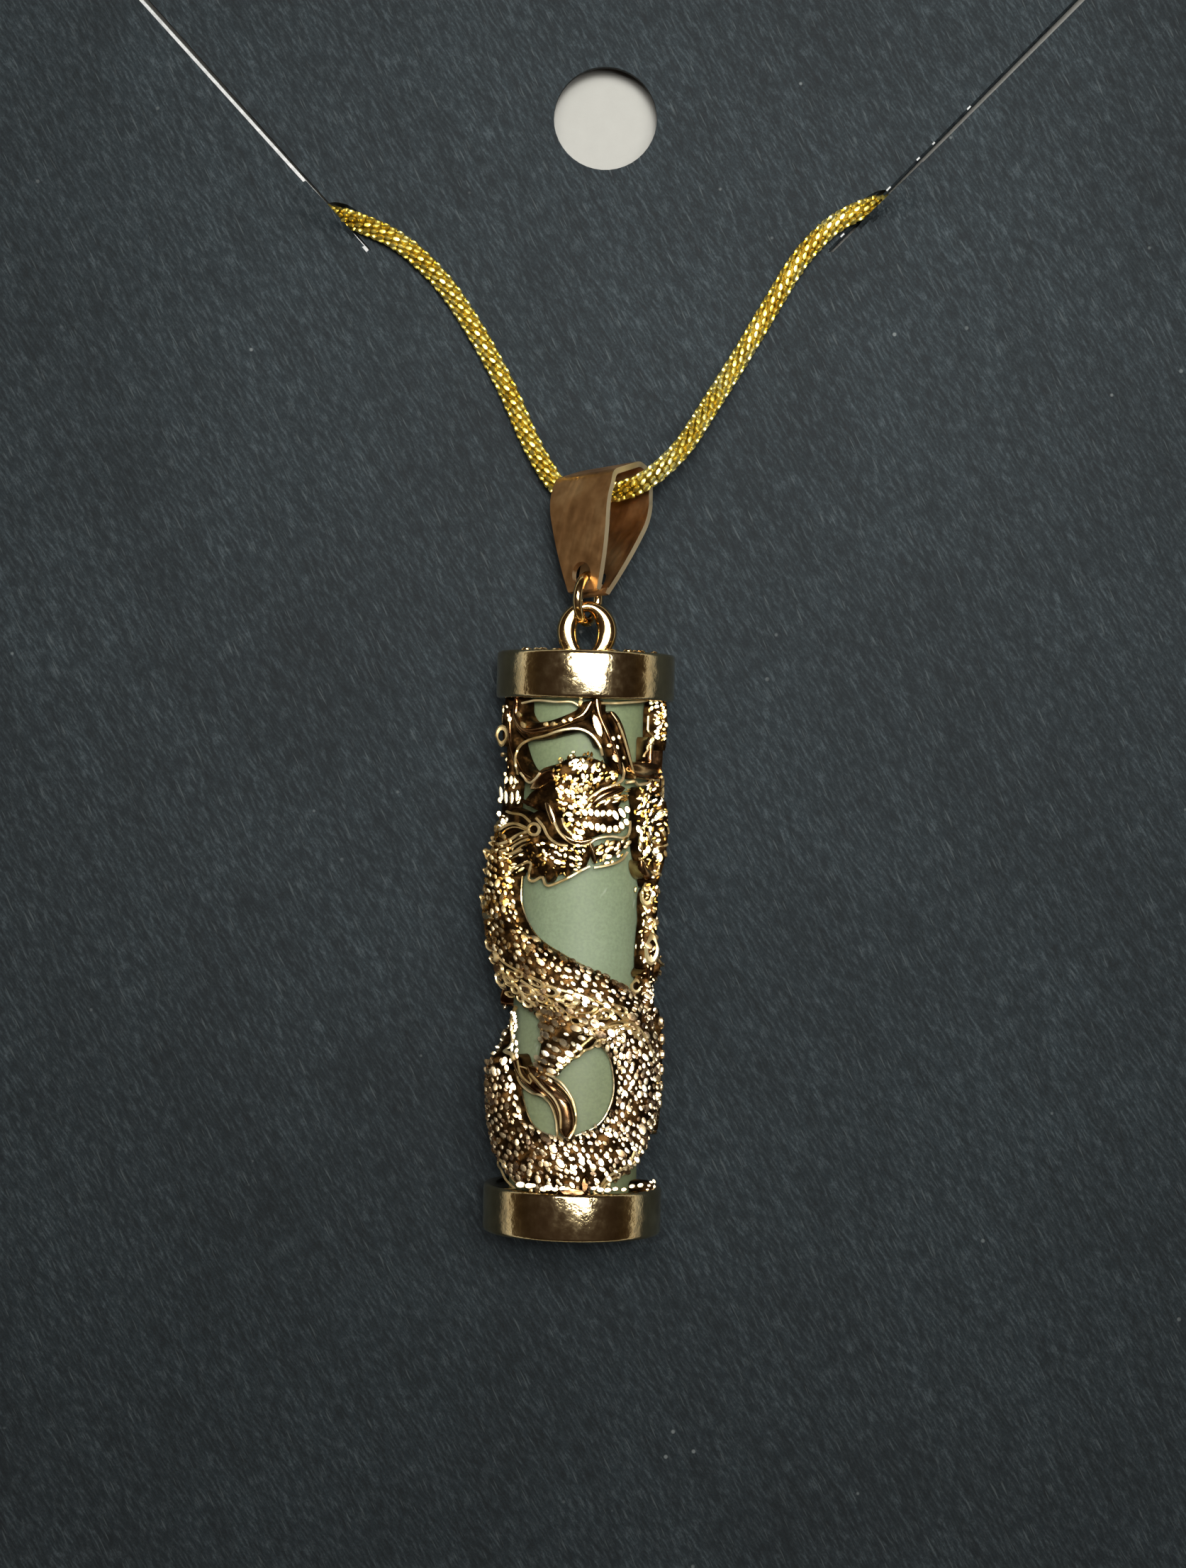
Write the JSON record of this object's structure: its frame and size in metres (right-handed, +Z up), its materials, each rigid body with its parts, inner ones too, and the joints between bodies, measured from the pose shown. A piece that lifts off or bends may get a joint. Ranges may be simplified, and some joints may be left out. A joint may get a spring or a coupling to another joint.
{
  "type": "jade dragon pendant necklace on a display card",
  "caption": "Round jade column wrapped in a cast golden dragon, hung by a folded bail on a round snake chain threaded through a dark display card with a hang hole.",
  "frame": {"origin": "middle of the footprint, on the surface that the hidden chain rests on", "axes": "+Z up, out of the face of the card; +Y to the top edge of the card with the hang hole; +X to the right"},
  "size_m": [0.1, 0.138, 0.0135],
  "materials": {
    "card": "matte with fine fibre streaks",
    "chain_gold": "polished yellow gold plate",
    "satin_gold": "satin rose gold plate",
    "polished_gold": "polished champagne gold plate",
    "jade": "polished, slightly translucent",
    "cast_gold": "cast, polished on its crests and dark in its hollows"
  },
  "bodies": {
    "root": {"display_card": "card", "chain": "chain_gold", "clasp": "chain_gold", "bail": "satin_gold", "link_ring": "chain_gold", "top_cap": "polished_gold", "bottom_cap": "polished_gold", "jade_column": "jade", "dragon": "cast_gold"}
  },
  "joints": []
}
